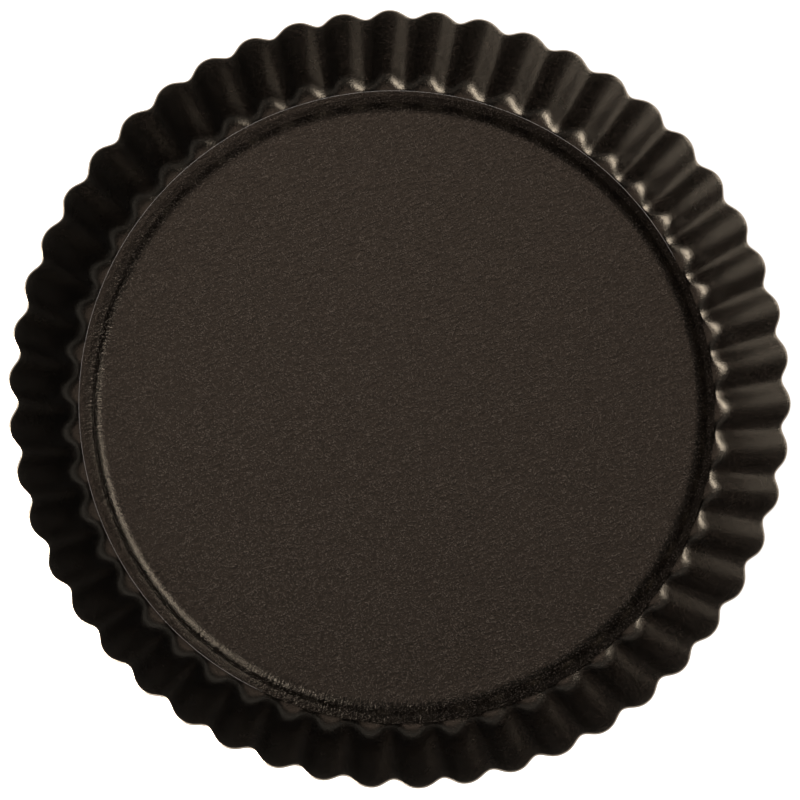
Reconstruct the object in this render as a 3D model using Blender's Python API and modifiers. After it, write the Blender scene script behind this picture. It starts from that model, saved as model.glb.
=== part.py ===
"""Loose-bottomed fluted tart pan, in metres, +Z up.

Two stampings make it: a fluted ring with a flange turned in at its foot, and a base plate that lies
loose on that flange and is pushed up out of the ring to free the tart. The origin is under the middle
of the pan, on the surface that it stands on, and a flute's outermost line points along +X.
"""

from math import atan, atan2, cos, hypot, pi, radians, sin, tan

import bpy

# The pan
OUTER_RADIUS = 0.140  # outermost lines of the flutes, at the rim
HEIGHT = 0.033

# Flutes: round lobes outwards, with narrower creases between them
FLUTES = 50
SEGMENTS_PER_FLUTE = 6
RIM_DEPTH = 0.00153  # half of what a flute moves in and out, at the rim
FOOT_DEPTH = 0.00185
LOBE_FLATTENING = 0.12  # share of the second harmonic, which widens the lobes
FLUTE_START = 0.113  # the flange is circular at this radius
FLUTE_FADE = 0.0055  # and over this much further out the flutes grow to their full depth

# Fluted ring
RING_SHEET = 0.0007
HOLE_RADIUS = 0.1125
FOOT_RADIUS = 0.1216  # mean radius where the wall's line meets the flange
FOOT_FILLET = 0.0075
FILLET_SEGMENTS = 5
FLARE = 0.0006  # how far the top of the wall turns further out
FLARE_HEIGHT = 0.005

# Base plate, whose edge rests on the creases' bend out of the flange
PLATE_SHEET = 0.0006
PLATE_RADIUS = 0.1177
PLATE_BOTTOM = 0.00165  # leaves a 0.3 mm gap over the creases
PLATE_STEPS = 96
PANEL_RADIUS = 0.1090  # the flat top of the raised panel
PANEL_SHIFT = (0.0013, -0.0012)  # the panel is pressed a little off the plate's centre
SHOULDER_RADIUS = 0.0068  # rounds the panel down
HOLLOW_RADIUS = 0.0027  # rounds the step out into the brim
STEP_ANGLE = radians(40)
STEP_SEGMENTS = 4  # in each round
BRIM_SLOPE = radians(16)  # the brim falls to the plate's edge

COATED_RING = (0.030, 0.022, 0.017, 1)
COATED_PLATE = (0.036, 0.026, 0.021, 1)


def clear_scene():
    for obj in list(bpy.data.objects):
        bpy.data.objects.remove(obj, do_unlink=True)


def coating(name, colour, roughness):
    """Non-stick coating on steel."""
    material = bpy.data.materials.new(name)
    material.use_nodes = True
    shader = material.node_tree.nodes["Principled BSDF"]
    shader.inputs["Base Color"].default_value = colour
    shader.inputs["Metallic"].default_value = 0.3
    shader.inputs["Roughness"].default_value = roughness
    return material


def arc(centre, radius, start, end, segments):
    """Points (radius from the axis, height) on an arc, its first point left out."""
    angles = [start + (end - start) * i / segments for i in range(1, segments + 1)]
    return [(centre[0] + radius * cos(a), centre[1] + radius * sin(a)) for a in angles]


def lobe(angle):
    """How far a flute stands out at this angle round the axis, between about -1 and 1."""
    return cos(FLUTES * angle) - LOBE_FLATTENING * cos(2 * FLUTES * angle)


def ring_profile():
    """Middle of the ring's sheet: the flange from its hole outwards, the fillet, the wall and its flare."""
    level = RING_SHEET / 2
    rim_radius = OUTER_RADIUS - RING_SHEET / 2 - RIM_DEPTH * lobe(0)
    lean = atan((rim_radius - FLARE - FOOT_RADIUS) / (HEIGHT - level))
    top = HEIGHT - RING_SHEET / 2 * sin(lean)
    setback = FOOT_FILLET * tan((pi / 2 - lean) / 2)
    fillet_start = (FOOT_RADIUS - setback, level)
    centre = (fillet_start[0], level + FOOT_FILLET)
    fillet = arc(centre, FOOT_FILLET, -pi / 2, -lean, FILLET_SEGMENTS)
    straight = (rim_radius - FLARE - FLARE_HEIGHT * tan(lean), top - FLARE_HEIGHT)
    half_flared = (rim_radius - FLARE * 0.75 - FLARE_HEIGHT / 2 * tan(lean), top - FLARE_HEIGHT / 2)
    flange = [(HOLE_RADIUS, level), (FLUTE_START, level), fillet_start]
    return [*flange, *fillet, straight, half_flared, (rim_radius, top)]


def plate_profile():
    """Middle of the plate's sheet, from the edge of the brim in to the axis."""
    level = PLATE_BOTTOM + PLATE_SHEET / 2
    hollow_centre = PANEL_RADIUS + (SHOULDER_RADIUS + HOLLOW_RADIUS) * sin(STEP_ANGLE)
    brim = hollow_centre - HOLLOW_RADIUS * sin(BRIM_SLOPE)
    foot = level + (PLATE_RADIUS - brim) * tan(BRIM_SLOPE)
    drop = SHOULDER_RADIUS * (1 - cos(STEP_ANGLE)) + HOLLOW_RADIUS * (cos(BRIM_SLOPE) - cos(STEP_ANGLE))
    centre = (hollow_centre, foot + HOLLOW_RADIUS * cos(BRIM_SLOPE))
    hollow = arc(centre, HOLLOW_RADIUS, -pi / 2 - BRIM_SLOPE, -pi / 2 - STEP_ANGLE, STEP_SEGMENTS)
    top_centre = (PANEL_RADIUS, foot + drop - SHOULDER_RADIUS)
    round_over = arc(top_centre, SHOULDER_RADIUS, pi / 2 - STEP_ANGLE, pi / 2, STEP_SEGMENTS)
    return [(PLATE_RADIUS, level), (brim, foot), *hollow, *round_over, (0, foot + drop)]


def turned(name, profile, steps):
    """The profile turned round Z, as an open surface."""
    outline = bpy.data.meshes.new(name + "_profile")
    edges = [(i, i + 1) for i in range(len(profile) - 1)]
    outline.from_pydata([(radius, 0, height) for radius, height in profile], edges, [])
    holder = bpy.data.objects.new(name + "_profile", outline)
    bpy.context.scene.collection.objects.link(holder)
    screw = holder.modifiers.new("Turn", "SCREW")
    screw.steps = screw.render_steps = steps
    screw.use_merge_vertices = True
    screw.merge_threshold = 0.00001
    bpy.context.view_layer.update()
    surface = bpy.data.meshes.new_from_object(holder.evaluated_get(bpy.context.evaluated_depsgraph_get()))
    bpy.data.objects.remove(holder)
    surface.name = name
    return surface


def flute(surface):
    """Moves the wall and the foot in and out, and leaves the flange round at its hole."""
    for vertex in surface.vertices:
        x, y, height = vertex.co
        radius = hypot(x, y)
        fade = min(max((radius - FLUTE_START) / FLUTE_FADE, 0), 1)
        depth = (FOOT_DEPTH + (RIM_DEPTH - FOOT_DEPTH) * height / HEIGHT) * fade * fade * (3 - 2 * fade)
        grown = 1 + depth * lobe(atan2(y, x)) / radius
        vertex.co = (x * grown, y * grown, height)


def shift_panel(surface):
    """Moves the raised panel and its step off the plate's centre, and leaves the plate's edge where it is."""
    for vertex in surface.vertices:
        if hypot(vertex.co.x, vertex.co.y) < PLATE_RADIUS - PLATE_SHEET:
            vertex.co.x += PANEL_SHIFT[0]
            vertex.co.y += PANEL_SHIFT[1]


def sheet_part(name, surface, thickness, material, collection):
    """A piece of sheet metal, half its thickness to each side of the surface."""
    surface.materials.clear()
    surface.materials.append(material)
    surface.shade_smooth()
    piece = bpy.data.objects.new(name, surface)
    collection.objects.link(piece)
    solidify = piece.modifiers.new("Sheet", "SOLIDIFY")
    solidify.thickness = thickness
    solidify.offset = 0
    solidify.use_even_offset = True
    solidify.use_quality_normals = True
    return piece


def main():
    clear_scene()
    pan = bpy.data.collections.new("tart_pan")
    bpy.context.scene.collection.children.link(pan)

    wall = turned("fluted_ring", ring_profile(), FLUTES * SEGMENTS_PER_FLUTE)
    flute(wall)
    sheet_part("fluted_ring", wall, RING_SHEET, coating("ring_coating", COATED_RING, 0.4), pan)

    disc = turned("base_plate", plate_profile(), PLATE_STEPS)
    shift_panel(disc)
    sheet_part("base_plate", disc, PLATE_SHEET, coating("plate_coating", COATED_PLATE, 0.45), pan)


main()
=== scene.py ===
"""Looks of the loose-bottomed fluted tart pan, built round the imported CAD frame. Metres, +Z up.

The fluted ring and the base plate are each made again at full smoothness over their CAD solids, with
bare steel at their cut edges and a dark brown non-stick coating everywhere else.
"""

from math import cos, pi, radians, sin

import bpy
import numpy as np
from mathutils import Matrix, Vector


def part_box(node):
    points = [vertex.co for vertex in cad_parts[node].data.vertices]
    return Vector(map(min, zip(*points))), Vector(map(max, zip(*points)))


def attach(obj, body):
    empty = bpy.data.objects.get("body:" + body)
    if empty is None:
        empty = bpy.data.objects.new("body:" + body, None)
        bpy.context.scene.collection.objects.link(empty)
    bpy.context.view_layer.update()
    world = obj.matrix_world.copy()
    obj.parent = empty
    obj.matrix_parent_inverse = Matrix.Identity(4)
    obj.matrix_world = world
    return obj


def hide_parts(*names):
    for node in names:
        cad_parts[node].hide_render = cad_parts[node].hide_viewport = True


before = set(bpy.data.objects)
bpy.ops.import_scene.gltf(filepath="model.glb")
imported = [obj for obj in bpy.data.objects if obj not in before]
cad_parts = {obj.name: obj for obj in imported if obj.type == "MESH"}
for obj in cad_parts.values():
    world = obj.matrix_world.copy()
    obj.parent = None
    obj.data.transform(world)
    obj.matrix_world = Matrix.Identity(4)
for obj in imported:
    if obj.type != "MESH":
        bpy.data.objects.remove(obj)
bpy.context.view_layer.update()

MM = 0.001

# The ring, as the CAD model has it
FLUTES = 50
OUTER_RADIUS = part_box("fluted_ring")[1].x
HEIGHT = 33 * MM
RING_SHEET = 0.7 * MM
RIM_DEPTH = 1.53 * MM  # half of what a flute moves in and out, at the rim
FOOT_DEPTH = 1.85 * MM
LOBE_FLATTENING = 0.12  # share of the second harmonic, which widens the lobes
HOLE_RADIUS = 112.5 * MM
FOOT_RADIUS = 121.6 * MM  # where the wall's line meets the flange
FOOT_FILLET = 7.5 * MM
FLUTE_START = 113 * MM
FLUTE_FADE = 5.5 * MM  # radial distance over which the flutes grow from nothing to full depth
FLARE = 0.6 * MM  # how far the top of the wall turns further out
FLARE_HEIGHT = 5 * MM

# The plate, as the CAD model has it
PLATE_RADIUS = 117.7 * MM
PLATE_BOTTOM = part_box("base_plate")[0].z
PLATE_SHEET = 0.6 * MM
PANEL_RADIUS = 109.0 * MM
PANEL_SHIFT = Vector((1.3 * MM, -1.2 * MM))  # the panel is pressed a little off the plate's centre
SHOULDER_RADIUS = 6.8 * MM  # rounds the panel down
HOLLOW_RADIUS = 2.7 * MM  # rounds the step out into the brim
STEP_ANGLE = radians(40)
BRIM_SLOPE = radians(16)

# Detail that the CAD model leaves out
FLUTE_COLUMNS = 36  # to a flute
FLANGE_ROWS = 5
FILLET_ROWS = 16
WALL_ROWS = 28
FLUTE_WANDER = 0.0012  # radians, times a wave of about -2 to 2
FLUTE_UNEVENNESS = 0.04  # share of a flute's depth, times such a wave
PLATE_COLUMNS = 720
PANEL_ROWS = 24
SHOULDER_ROWS = 16
HOLLOW_ROWS = 12
BRIM_ROWS = 12
CUT_EDGE_BEVEL = 0.12 * MM
BURR = ((0.07, 0.010), (0.05, 0.015), (0.02, 0.020), (0.01, 0.020), (0, 0))  # mm inwards and up
EDGE_ROUND = 0.08 * MM  # on the underside of the plate's edge
SHARP_ANGLE = radians(50)
STREAKS_PER_RADIAN = 165.0
STREAKS_PER_METRE = 200.0  # along each streak, which makes them a few millimetres long
STREAK_FADE = (106 * MM, 110 * MM)  # radius where they start and are full

# Non-stick coating
COAT_BODY = (0.0003, 0.0002, 0.0002, 1)  # nearly black, because the brown is in its reflections
COAT_RIDGE = (0.0010, 0.0007, 0.0005, 1)
RING_SPECKS = (0.0200, 0.0145, 0.0115, 1)
PLATE_SPECKS = (0.0270, 0.0225, 0.0195, 1)
SPECULAR_TINT = (1.0, 0.87, 0.70, 1)

# Bare steel of the cut edges
RIM_STEEL = (0.45, 0.39, 0.32, 1)
PLATE_EDGE_STEEL = (0.62, 0.65, 0.66, 1)
STEEL_ROUGHNESS = (0.23, 0.47)

# Camera, aimed close to the middle of the rim
CAMERA_TARGET = Vector((-1.18 * MM, -3.08 * MM, 32.9 * MM))
CAMERA_AZIMUTH = radians(243.82)
CAMERA_TILT = radians(7.234)  # from straight above
CAMERA_DISTANCE = 0.7643
CAMERA_ROLL = radians(1.404)
CAMERA_LENS = 96.51  # mm, on a 36 mm sensor

# Studio walls, brighter towards one azimuth
WALL_AZIMUTH = radians(60)
WALL_SHARE = (0.5, 1.2)  # of WALL_LIGHT, away from that azimuth and towards it
WALL_FADE = (0.45, 0.72)  # sine of the elevation, where the fade starts and ends
WALL_LIGHT = (0.65, 0.08)  # below the fade and above it

# Studio ceiling, lit on one side of the zenith only
CEILING_AZIMUTH = radians(70)
CEILING_FADE = (0.015, 0.12)  # sine of the angle past the zenith, where the light starts and is full
CEILING_LIGHT = 1.38
CEILING_TINT = (1.0, 0.84, 0.78)
TOP_AZIMUTH = radians(150)  # the lit part lies round a middle that leans this way from the zenith
TOP_LEAN = 0.12
TOP_FADE = (0.79, 1.0)  # cosine of the angle from that middle, where the light ends and is full

# A round glow in the ceiling, above the softbox
GLOW_TILT = radians(27)  # from straight above
GLOW_AZIMUTH = radians(206)
GLOW_FADE = (cos(radians(16)), cos(radians(6)))  # where it ends and is full
GLOW_LIGHT = 1.9

LAMP_DISTANCE = 1.3
LAMP_COLOUR = (1.0, 0.96, 0.90)


# ---------------------------------------------------------------- meshes


def arc(centre, radius, start, end, segments):
    """Points (radius from the axis, height) on an arc, both ends included."""
    angles = np.linspace(start, end, segments + 1)
    return [(centre[0] + radius * cos(a), centre[1] + radius * sin(a)) for a in angles]


def line(start, end, segments):
    """Points from start to end, the end left out."""
    step = (np.array(end) - np.array(start)) / segments
    return [tuple(np.array(start) + step * i) for i in range(segments)]


def turned(points, columns):
    """The profile turned round Z, as points (rows, columns, 3), and the angle of each column."""
    profile = np.array(points)
    angles = np.arange(columns) * 2 * pi / columns
    grid = np.empty((len(profile), columns, 3))
    grid[:, :, 0] = profile[:, :1] * np.cos(angles)
    grid[:, :, 1] = profile[:, :1] * np.sin(angles)
    grid[:, :, 2] = profile[:, 1:]
    return grid, angles


def band_faces(rows, columns):
    """Quads between the rows of a turned profile."""
    index = np.arange(rows * columns).reshape(rows, columns)
    after = np.roll(index, -1, axis=1)
    return np.stack([index[:-1], after[:-1], after[1:], index[1:]], axis=-1).reshape(-1, 4)


def mesh_object(name, vertices, faces):
    mesh = bpy.data.meshes.new(name)
    mesh.from_pydata(vertices.tolist(), [], [tuple(f) for f in faces])
    mesh.validate()
    obj = bpy.data.objects.new(name, mesh)
    bpy.context.scene.collection.objects.link(obj)
    return obj


def apply_modifiers(obj):
    graph = bpy.context.evaluated_depsgraph_get()
    mesh = bpy.data.meshes.new_from_object(obj.evaluated_get(graph))
    obj.modifiers.clear()
    obj.data = mesh


def give_thickness(obj, thickness):
    """Makes the surface a closed sheet, half to each side, with its cut edges in the second material."""
    solidify = obj.modifiers.new("Sheet", "SOLIDIFY")
    solidify.thickness = thickness
    solidify.offset = 0
    solidify.use_even_offset = True
    solidify.use_quality_normals = True
    solidify.material_offset_rim = 1
    bevel = obj.modifiers.new("Cut edges", "BEVEL")
    bevel.width = CUT_EDGE_BEVEL
    bevel.segments = 2
    bevel.limit_method = "ANGLE"
    bevel.angle_limit = SHARP_ANGLE
    apply_modifiers(obj)


def shade(obj):
    obj.data.shade_smooth()
    obj.data.set_sharp_from_angle(angle=SHARP_ANGLE)


# ---------------------------------------------------------------- fluted ring


def lobe(angle):
    """How far a flute stands out at this angle round the axis, between about -1 and 1."""
    return np.cos(FLUTES * angle) - LOBE_FLATTENING * np.cos(2 * FLUTES * angle)


def waver(angle, seed):
    """Slow uneven wave round the pan, about -2 to 2, from pressing and handling."""
    rng = np.random.default_rng(seed)
    waves = (5, 11, 17, 23, 31, 37)
    return sum(np.sin(turns * angle + rng.uniform(0, 2 * pi)) for turns in waves) / 1.5


def ring_profile():
    """Middle of the ring's sheet, from the flange's hole out through the fillet and up to the rim."""
    level = RING_SHEET / 2
    rim_radius = OUTER_RADIUS - RING_SHEET / 2 - RIM_DEPTH * (1 - LOBE_FLATTENING)
    lean = np.arctan((rim_radius - FLARE - FOOT_RADIUS) / (HEIGHT - level))
    setback = FOOT_FILLET * np.tan((pi / 2 - lean) / 2)
    start = (FOOT_RADIUS - setback, level)
    fillet = arc((start[0], level + FOOT_FILLET), FOOT_FILLET, -pi / 2, -lean, FILLET_ROWS)
    top = HEIGHT - RING_SHEET / 2 * sin(lean)
    wall = line(fillet[-1], (rim_radius - FLARE, top), WALL_ROWS) + [(rim_radius - FLARE, top)]
    flared = [(x + FLARE * max(0, (z - top + FLARE_HEIGHT) / FLARE_HEIGHT) ** 2, z) for x, z in wall]
    return [*line((HOLE_RADIUS, level), start, FLANGE_ROWS), *fillet[:-1], *flared]


def make_ring():
    grid, angles = turned(ring_profile(), FLUTES * FLUTE_COLUMNS)
    radius = np.hypot(grid[:, :, 0], grid[:, :, 1])
    depth = FOOT_DEPTH + (RIM_DEPTH - FOOT_DEPTH) * grid[:, :, 2] / HEIGHT
    fade = np.clip((radius - FLUTE_START) / FLUTE_FADE, 0, 1)
    depth = depth * fade * fade * (3 - 2 * fade)
    angles = angles + FLUTE_WANDER * waver(angles, 3)
    depth = depth * (1 + FLUTE_UNEVENNESS * waver(angles, 5))
    grown = 1 + depth * lobe(angles) / radius
    grid[:, :, :2] *= grown[:, :, None]
    ring = mesh_object("fluted_ring_skin", grid.reshape(-1, 3), band_faces(*grid.shape[:2]))
    ring.data.materials.append(ring_coating())
    ring.data.materials.append(bare_steel("rim_steel", RIM_STEEL))
    give_thickness(ring, RING_SHEET)
    shade(ring)
    return ring


# ---------------------------------------------------------------- base plate


def plate_profile():
    """The plate's section, from the middle of its top out to its edge and back underneath, in parts."""
    top = PLATE_BOTTOM + PLATE_SHEET
    half = PLATE_SHEET / 2
    hollow_centre = PANEL_RADIUS + (SHOULDER_RADIUS + HOLLOW_RADIUS) * sin(STEP_ANGLE)
    brim_width = PLATE_RADIUS - hollow_centre + HOLLOW_RADIUS * sin(BRIM_SLOPE)
    foot = PLATE_BOTTOM + half + brim_width * np.tan(BRIM_SLOPE)
    shoulder_drop = SHOULDER_RADIUS * (1 - cos(STEP_ANGLE))
    drop = shoulder_drop + HOLLOW_RADIUS * (cos(BRIM_SLOPE) - cos(STEP_ANGLE))

    def face(offset):
        """The step at this distance above the middle of the sheet, from the panel out to the brim."""
        centre = (PANEL_RADIUS, foot + drop - SHOULDER_RADIUS)
        shoulder = arc(centre, SHOULDER_RADIUS + offset, pi / 2, pi / 2 - STEP_ANGLE, SHOULDER_ROWS)
        centre = (hollow_centre, foot + HOLLOW_RADIUS * cos(BRIM_SLOPE))
        start, end = -pi / 2 - STEP_ANGLE, -pi / 2 - BRIM_SLOPE
        return shoulder + arc(centre, HOLLOW_RADIUS - offset, start, end, HOLLOW_ROWS)

    upper = face(half)
    lower = face(-half)
    shares = np.linspace(0, 1, PANEL_ROWS + 1)[1:-1]
    panel = [(PANEL_RADIUS * s, upper[0][1]) for s in shares]
    under = [(PANEL_RADIUS * s, lower[0][1]) for s in shares[::-1]]
    burr = [(PLATE_RADIUS - inwards * MM, top + up * MM) for inwards, up in BURR]
    brim = line(upper[-1], burr[0], BRIM_ROWS)[1:]
    edge = [(PLATE_RADIUS, PLATE_BOTTOM + EDGE_ROUND), (PLATE_RADIUS - EDGE_ROUND, PLATE_BOTTOM)]
    return panel, upper, brim, burr, edge, lower[::-1], under


def make_plate():
    parts = plate_profile()
    points = sum(parts, [])
    grid, _ = turned(points, PLATE_COLUMNS)
    inside = np.hypot(grid[:, :, 0], grid[:, :, 1]) < PLATE_RADIUS - 0.5 * MM  # all but the edge
    grid[:, :, 0] += np.where(inside, PANEL_SHIFT.x, 0)
    grid[:, :, 1] += np.where(inside, PANEL_SHIFT.y, 0)
    poles = [(*PANEL_SHIFT, points[0][1]), (*PANEL_SHIFT, points[-1][1])]
    vertices = np.vstack([grid.reshape(-1, 3), poles])
    rows = len(points)
    faces = [tuple(f[::-1]) for f in band_faces(rows, PLATE_COLUMNS)]
    last = (rows - 1) * PLATE_COLUMNS
    top_pole = rows * PLATE_COLUMNS
    under_pole = top_pole + 1
    for i in range(PLATE_COLUMNS):
        j = (i + 1) % PLATE_COLUMNS
        faces.append((top_pole, i, j))
        faces.append((under_pole, last + j, last + i))
    plate = mesh_object("base_plate_skin", vertices, faces)
    plate.data.materials.append(plate_coating())
    plate.data.materials.append(bare_steel("plate_edge_steel", PLATE_EDGE_STEEL))
    panel, upper, brim, burr = parts[:4]
    bare_from = len(panel) + len(upper) + len(brim)
    for polygon in plate.data.polygons:
        row = min(v // PLATE_COLUMNS for v in polygon.vertices)
        polygon.material_index = int(bare_from <= row < bare_from + len(burr))
    shade(plate)
    return plate


# ---------------------------------------------------------------- materials


def new_material(name):
    material = bpy.data.materials.new(name)
    material.use_nodes = True
    return material, material.node_tree, material.node_tree.nodes["Principled BSDF"]


def add(tree, kind, inputs=None, **settings):
    """A node, with its settings, and its inputs given as values or linked from sockets."""
    made = tree.nodes.new(kind)
    for key, value in settings.items():
        setattr(made, key, value)
    for key, value in (inputs or {}).items():
        if isinstance(value, bpy.types.NodeSocket):
            tree.links.new(value, made.inputs[key])
        else:
            made.inputs[key].default_value = value
    return made


def maths(tree, operation, *values):
    return add(tree, "ShaderNodeMath", dict(enumerate(values)), operation=operation).outputs[0]


def dot(tree, direction, axis):
    made = add(tree, "ShaderNodeVectorMath", {0: direction, 1: axis}, operation="DOT_PRODUCT")
    return made.outputs["Value"]


def ranged(tree, value, source, target=(0.0, 1.0), smooth=False):
    """The value carried over from the source range to the target range, and held at its ends."""
    return add(tree, "ShaderNodeMapRange", {
        "Value": value, "From Min": source[0], "From Max": source[1],
        "To Min": target[0], "To Max": target[1],
    }, interpolation_type="SMOOTHSTEP" if smooth else "LINEAR").outputs["Result"]


def noise(tree, place, scale, detail, roughness, distortion=0.0):
    return add(tree, "ShaderNodeTexNoise", {
        "Vector": place, "Scale": scale, "Detail": detail,
        "Roughness": roughness, "Distortion": distortion,
    }).outputs["Fac"]


def drawing_streaks(tree, place):
    """Fine radial streaks where the sheet was drawn down over the plate's step, 0 on the panel."""
    parts = add(tree, "ShaderNodeSeparateXYZ", {"Vector": place})
    angle = maths(tree, "ARCTAN2", parts.outputs["Y"], parts.outputs["X"])
    flat = add(tree, "ShaderNodeVectorMath", {0: place, 1: (1, 1, 0)}, operation="MULTIPLY")
    length = add(tree, "ShaderNodeVectorMath", {0: flat.outputs["Vector"]}, operation="LENGTH")
    radius = length.outputs["Value"]
    polar = add(tree, "ShaderNodeCombineXYZ", {
        "X": maths(tree, "MULTIPLY", angle, STREAKS_PER_RADIAN),
        "Y": maths(tree, "MULTIPLY", radius, STREAKS_PER_METRE),
    }).outputs["Vector"]
    streaks = noise(tree, polar, 1.0, 1.0, 0.5)
    return maths(tree, "MULTIPLY", streaks, ranged(tree, radius, STREAK_FADE))


def coating(name, specks_colour, roughness, grain_turn, grain_size, relief, streaked=False):
    """Non-stick coating: short wavy ridges over finer orange peel, with light specks on the ridges."""
    material, tree, shader = new_material(name)
    place = add(tree, "ShaderNodeTexCoord").outputs["Object"]
    along = add(tree, "ShaderNodeMapping", {
        "Vector": place, "Rotation": (0, 0, grain_turn), "Scale": grain_size,
    }, vector_type="TEXTURE").outputs["Vector"]
    grain = noise(tree, along, 1.0, 3.0, 0.7, distortion=0.8)
    peel = noise(tree, place, 2200.0, 1.0, 0.5)
    mottle = noise(tree, place, 45.0, 5.0, 0.7)
    tone = add(tree, "ShaderNodeValToRGB", {"Fac": maths(tree, "MULTIPLY_ADD", grain, 0.35, peel)})
    ramp = tone.color_ramp.elements
    ramp.new(0.5)
    colours = (COAT_BODY, COAT_RIDGE, specks_colour)
    for stop, position, colour in zip(ramp, (0.55, 0.73, 0.88), colours):
        stop.position = position
        stop.color = colour
    tree.links.new(tone.outputs["Color"], shader.inputs["Base Color"])
    rough = ranged(tree, mottle, (0.3, 0.7), (roughness - 0.03, roughness + 0.03))
    tree.links.new(rough, shader.inputs["Roughness"])
    height = maths(tree, "MULTIPLY_ADD", peel, 0.5, grain)
    if streaked:
        height = maths(tree, "MULTIPLY_ADD", drawing_streaks(tree, place), 0.8, height)
    bump = add(tree, "ShaderNodeBump", {"Strength": 1.0, "Distance": relief, "Height": height})
    tree.links.new(bump.outputs["Normal"], shader.inputs["Normal"])
    shader.inputs["Specular IOR Level"].default_value = 0.5
    shader.inputs["Specular Tint"].default_value = SPECULAR_TINT
    return material


def ring_coating():
    grain = (0.9 * MM, 0.9 * MM, 0.9 * MM)
    return coating("ring_coating", RING_SPECKS, 0.26, 0.4, grain, 0.12 * MM)


def plate_coating():
    grain = (3.4 * MM, 1.1 * MM, 1.1 * MM)
    return coating("plate_coating", PLATE_SPECKS, 0.20, radians(25), grain, 0.20 * MM, streaked=True)


def bare_steel(name, colour):
    """Sheared edge of the sheet, with fine streaks."""
    material, tree, shader = new_material(name)
    place = add(tree, "ShaderNodeTexCoord").outputs["Object"]
    streaks = noise(tree, place, 900.0, 4.0, 0.7)
    rough = ranged(tree, streaks, (0.0, 1.0), STEEL_ROUGHNESS)
    tree.links.new(rough, shader.inputs["Roughness"])
    shader.inputs["Base Color"].default_value = colour
    shader.inputs["Metallic"].default_value = 1.0
    return material


# ---------------------------------------------------------------- stage, light and camera


def make_floor():
    bpy.ops.mesh.primitive_plane_add(size=6, location=(0, 0, -0.1 * MM))
    floor = bpy.context.object
    floor.name = "floor"
    material, tree, shader = new_material("floor_white")
    shader.inputs["Base Color"].default_value = (0.5, 0.5, 0.5, 1)
    shader.inputs["Roughness"].default_value = 0.9
    shader.inputs["Emission Color"].default_value = (1, 1, 1, 1)
    shader.inputs["Emission Strength"].default_value = 0.95
    floor.data.materials.append(material)


def towards(azimuth, elevation=0.0):
    """Unit vector in this direction."""
    return Vector((cos(azimuth) * cos(elevation), sin(azimuth) * cos(elevation), sin(elevation)))


def make_world():
    """Pale walls and ceiling, brighter in some directions."""
    world = bpy.data.worlds.new("studio")
    bpy.context.scene.world = world
    world.use_nodes = True
    tree = world.node_tree
    direction = add(tree, "ShaderNodeTexCoord").outputs["Generated"]
    height = add(tree, "ShaderNodeSeparateXYZ", {"Vector": direction}).outputs["Z"]
    walls = ranged(tree, height, WALL_FADE, WALL_LIGHT, smooth=True)
    share = ranged(tree, dot(tree, direction, towards(WALL_AZIMUTH)), (-0.9, 0.9), WALL_SHARE)
    walls = maths(tree, "MULTIPLY", walls, share)
    across = dot(tree, direction, towards(CEILING_AZIMUTH))
    lit = ranged(tree, across, CEILING_FADE, (0.0, CEILING_LIGHT), smooth=True)
    near_top = dot(tree, direction, TOP_LEAN * towards(TOP_AZIMUTH) + Vector((0, 0, 1)))
    ceiling = maths(tree, "MULTIPLY", lit, ranged(tree, near_top, TOP_FADE, smooth=True))
    near_glow = dot(tree, direction, towards(GLOW_AZIMUTH, pi / 2 - GLOW_TILT))
    glow = ranged(tree, near_glow, GLOW_FADE, (0.0, GLOW_LIGHT), smooth=True)
    ceiling = maths(tree, "ADD", ceiling, glow)
    tinted = add(tree, "ShaderNodeVectorMath", {0: CEILING_TINT, "Scale": ceiling}, operation="SCALE")
    colour = add(tree, "ShaderNodeVectorMath", {0: walls, 1: tinted.outputs["Vector"]}, operation="ADD")
    background = tree.nodes["Background"]
    tree.links.new(colour.outputs["Vector"], background.inputs["Color"])
    background.inputs["Strength"].default_value = 1.0


def add_softbox(name, azimuth, elevation, size, power):
    """Rectangular lamp, turned to the pan."""
    light = bpy.data.lights.new(name, "AREA")
    light.shape = "RECTANGLE"
    light.size, light.size_y = size
    light.energy = power
    light.color = LAMP_COLOUR
    lamp = bpy.data.objects.new(name, light)
    away = towards(azimuth, elevation)
    lamp.location = away * LAMP_DISTANCE
    lamp.rotation_euler = away.to_track_quat("Z", "Y").to_euler()
    bpy.context.scene.collection.objects.link(lamp)


def make_lights():
    add_softbox("window", radians(214), radians(26), (1.1, 1.1), 11)
    add_softbox("softbox", radians(208), radians(37.5), (1.1, 0.46), 36)


def make_camera():
    away = towards(CAMERA_AZIMUTH, pi / 2 - CAMERA_TILT)
    right = Vector((-sin(CAMERA_ROLL), cos(CAMERA_ROLL), 0)).cross(away).normalized()
    up = away.cross(right)
    turn = Matrix((right, up, away)).transposed()
    data = bpy.data.cameras.new("camera")
    data.lens = CAMERA_LENS
    data.sensor_width = 36
    data.clip_end = 20
    camera = bpy.data.objects.new("camera", data)
    camera.matrix_world = Matrix.Translation(CAMERA_TARGET + away * CAMERA_DISTANCE) @ turn.to_4x4()
    bpy.context.scene.collection.objects.link(camera)
    bpy.context.scene.camera = camera


# ---------------------------------------------------------------- putting it together


make_camera()
make_world()
make_lights()
make_floor()
bpy.context.scene.view_settings.view_transform = "Standard"

ring_skin = make_ring()
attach(ring_skin, "ring")
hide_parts("fluted_ring")

plate_skin = make_plate()
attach(plate_skin, "base")
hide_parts("base_plate")
